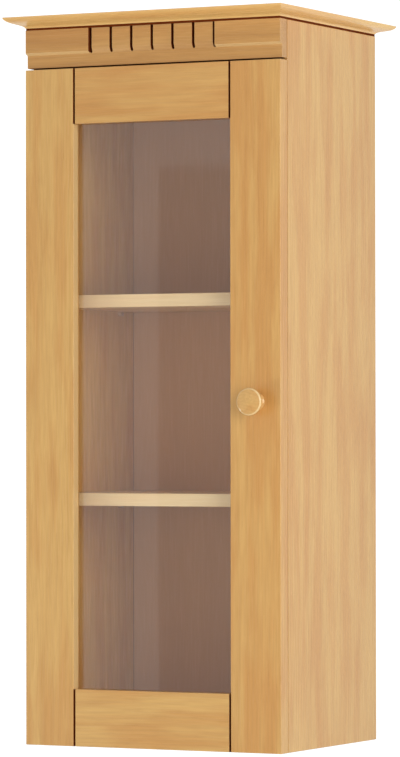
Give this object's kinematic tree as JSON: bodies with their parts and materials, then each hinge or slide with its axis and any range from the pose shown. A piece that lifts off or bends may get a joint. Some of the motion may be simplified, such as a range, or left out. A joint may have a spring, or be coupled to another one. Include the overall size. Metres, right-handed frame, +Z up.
{
  "type": "wall cabinet",
  "caption": "Tall narrow wall cabinet of lacquered pine with a glazed side-hung door, loose shelves, a fluted fascia and a moulded crown.",
  "frame": {"origin": "on the wall plane, midway between the two round wall holes in the hanging batten", "axes": "+X to the right as seen from the front, +Y into the wall, +Z up; the door faces -Y"},
  "size_m": [0.436, 0.3777, 1.0226],
  "materials": {
    "pine": "clear satin lacquer over fine-grained pine",
    "shelf_pine": "pale pine, clear lacquer",
    "back_board": "smooth thin board, wood coloured",
    "beech": "fluted beech dowel",
    "glass": "clear float glass with a faint warm grey tone",
    "brass": "satin brass",
    "zinc": "bright zinc plated steel",
    "brown_plastic": "brown moulded plastic",
    "magnet": "dark ferrite",
    "felt": "brown felt"
  },
  "bodies": {
    "cabinet": {"left_side_panel": "pine", "right_side_panel": "pine", "top_panel": "pine", "bottom_panel": "pine", "back_panel": "back_board", "front_rail": "pine", "fascia_board": "pine", "fascia_screws": "zinc", "upper_shelf": "shelf_pine", "lower_shelf": "shelf_pine", "upper_shelf_pins": "brown_plastic", "lower_shelf_pins": "brown_plastic", "hanging_batten": "pine", "spacer_batten": "pine", "top_panel_dowels": "beech", "bottom_panel_dowels": "beech", "front_rail_dowels": "beech", "batten_dowels": "beech", "crown_spacer": "pine", "crown_deck": "pine", "crown_front": "pine", "crown_back": "pine", "crown_left": "pine", "crown_right": "pine", "crown_screws": "zinc", "upper_hinge_fixed_leaf": "brass", "lower_hinge_fixed_leaf": "brass", "upper_hinge_pin": "brass", "lower_hinge_pin": "brass", "fixed_leaf_screws": "brass", "catch_body": "brown_plastic", "catch_magnet": "magnet", "catch_poles": "zinc", "catch_screws": "zinc"},
    "door": {"door_left_stile": "pine", "door_right_stile": "pine", "door_top_rail": "pine", "door_bottom_rail": "pine", "door_dowels": "beech", "glass_pane": "glass", "left_glazing_bead": "pine", "right_glazing_bead": "pine", "lower_glazing_bead": "pine", "upper_glazing_bead": "pine", "bead_brads": "zinc", "knob": "pine", "knob_screw": "zinc", "lower_hinge_door_leaf": "brass", "upper_hinge_door_leaf": "brass", "door_leaf_screws": "brass", "strike_plate": "zinc", "strike_screw": "zinc", "door_bumpers": "felt"}
  },
  "joints": [
    {"name": "door_hinge", "type": "hinge", "parent": "cabinet", "child": "door", "pos_m": [-0.2032, -0.3206, -0.478], "axis": [0, 0, -1], "range_deg": [0, 180]}
  ]
}
